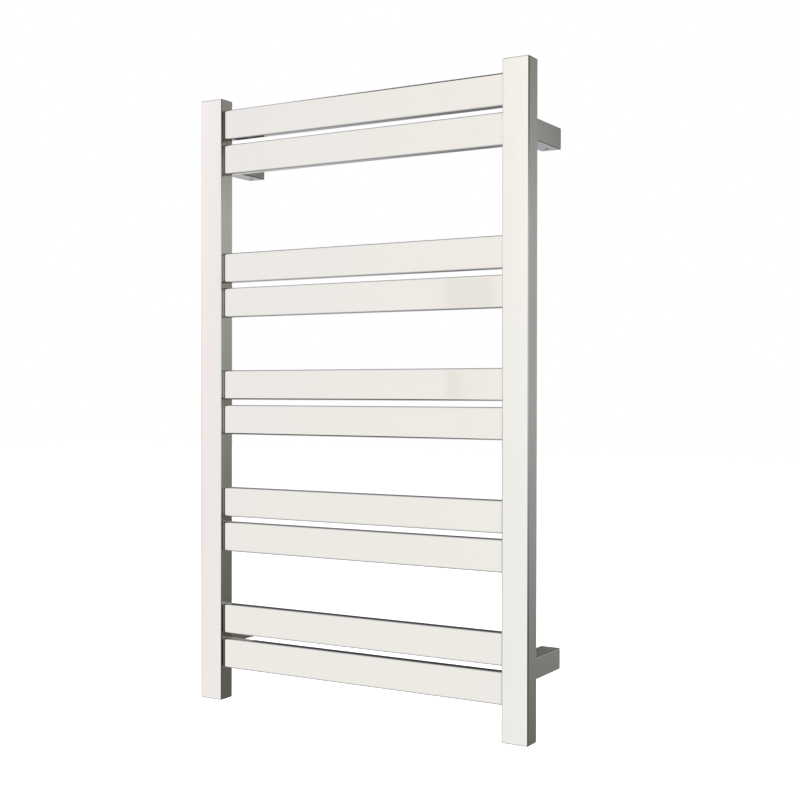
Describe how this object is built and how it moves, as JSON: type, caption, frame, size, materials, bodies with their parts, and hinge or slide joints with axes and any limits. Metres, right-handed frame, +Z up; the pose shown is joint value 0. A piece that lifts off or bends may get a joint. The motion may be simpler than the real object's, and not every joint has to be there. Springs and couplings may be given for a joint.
{
  "type": "towel warmer",
  "caption": "Wall-hung electric ladder towel warmer of polished steel tube: upright posts joined by paired flat bars, standing off the wall on square brackets.",
  "frame": {"origin": "on the wall plane, midway between the four wall fixings", "axes": "+X to the right seen from the front, +Y into the wall (the front faces -Y), +Z up along the posts"},
  "size_m": [0.5, 0.105, 0.828],
  "materials": {
    "polished_steel": "mirror polished stainless steel tube",
    "cast_alloy": "plain die-cast",
    "black_steel": "black oxide",
    "zinc_steel": "bright zinc",
    "silicone_sheath": "matt silicone",
    "lead_sheath": "matt silicone",
    "earth_sheath": "green and yellow wire sleeving",
    "moulded_rubber": "moulded",
    "moulded_plastic": "moulded, fine texture",
    "tag_brass": "stamped sheet"
  },
  "bodies": {
    "wall_bosses": {"wall_boss_top_left": "cast_alloy", "wall_boss_top_right": "cast_alloy", "wall_boss_bottom_left": "cast_alloy", "wall_boss_bottom_right": "cast_alloy"},
    "rack": {"left_post": "polished_steel", "right_post": "polished_steel", "end_plate_top_left": "polished_steel", "end_plate_top_right": "polished_steel", "end_plate_bottom_left": "polished_steel", "end_plate_bottom_right": "polished_steel", "bar_01": "polished_steel", "bar_02": "polished_steel", "bar_03": "polished_steel", "bar_04": "polished_steel", "bar_05": "polished_steel", "bar_06": "polished_steel", "bar_07": "polished_steel", "bar_08": "polished_steel", "bar_09": "polished_steel", "bar_10": "polished_steel", "bracket_top_left": "polished_steel", "bracket_top_right": "polished_steel", "bracket_bottom_left": "polished_steel", "bracket_bottom_right": "polished_steel", "bracket_screw_top_left": "black_steel", "bracket_screw_top_right": "black_steel", "bracket_screw_bottom_left": "black_steel", "bracket_screw_bottom_right": "black_steel", "washer_top_left": "zinc_steel", "washer_top_right": "zinc_steel", "washer_bottom_left": "zinc_steel", "washer_bottom_right": "zinc_steel", "weld_nut_top_left": "zinc_steel", "weld_nut_top_right": "zinc_steel", "weld_nut_bottom_left": "zinc_steel", "weld_nut_bottom_right": "zinc_steel", "heating_cable": "silicone_sheath", "cable_end_cap": "moulded_rubber", "cable_joint": "moulded_plastic", "thermal_cutout": "moulded_plastic", "link_lead": "lead_sheath", "supply_tail": "lead_sheath", "lead_bush": "moulded_rubber", "earth_lead": "earth_sheath", "earth_tag": "tag_brass"},
    "grub_top_left": {"grub_screw_top_left": "black_steel"},
    "grub_top_right": {"grub_screw_top_right": "black_steel"},
    "grub_bottom_left": {"grub_screw_bottom_left": "black_steel"},
    "grub_bottom_right": {"grub_screw_bottom_right": "black_steel"}
  },
  "joints": [
    {"name": "rack_lift_off", "type": "slide", "parent": "wall_bosses", "child": "rack", "axis": [0, -1, 0], "range_m": [0, 0.03]},
    {"name": "grub_top_left_slacken", "type": "slide", "parent": "rack", "child": "grub_top_left", "axis": [0, 0, -1], "range_m": [0, 0.0024]},
    {"name": "grub_top_right_slacken", "type": "slide", "parent": "rack", "child": "grub_top_right", "axis": [0, 0, -1], "range_m": [0, 0.0024]},
    {"name": "grub_bottom_left_slacken", "type": "slide", "parent": "rack", "child": "grub_bottom_left", "axis": [0, 0, -1], "range_m": [0, 0.0024]},
    {"name": "grub_bottom_right_slacken", "type": "slide", "parent": "rack", "child": "grub_bottom_right", "axis": [0, 0, -1], "range_m": [0, 0.0024]}
  ]
}
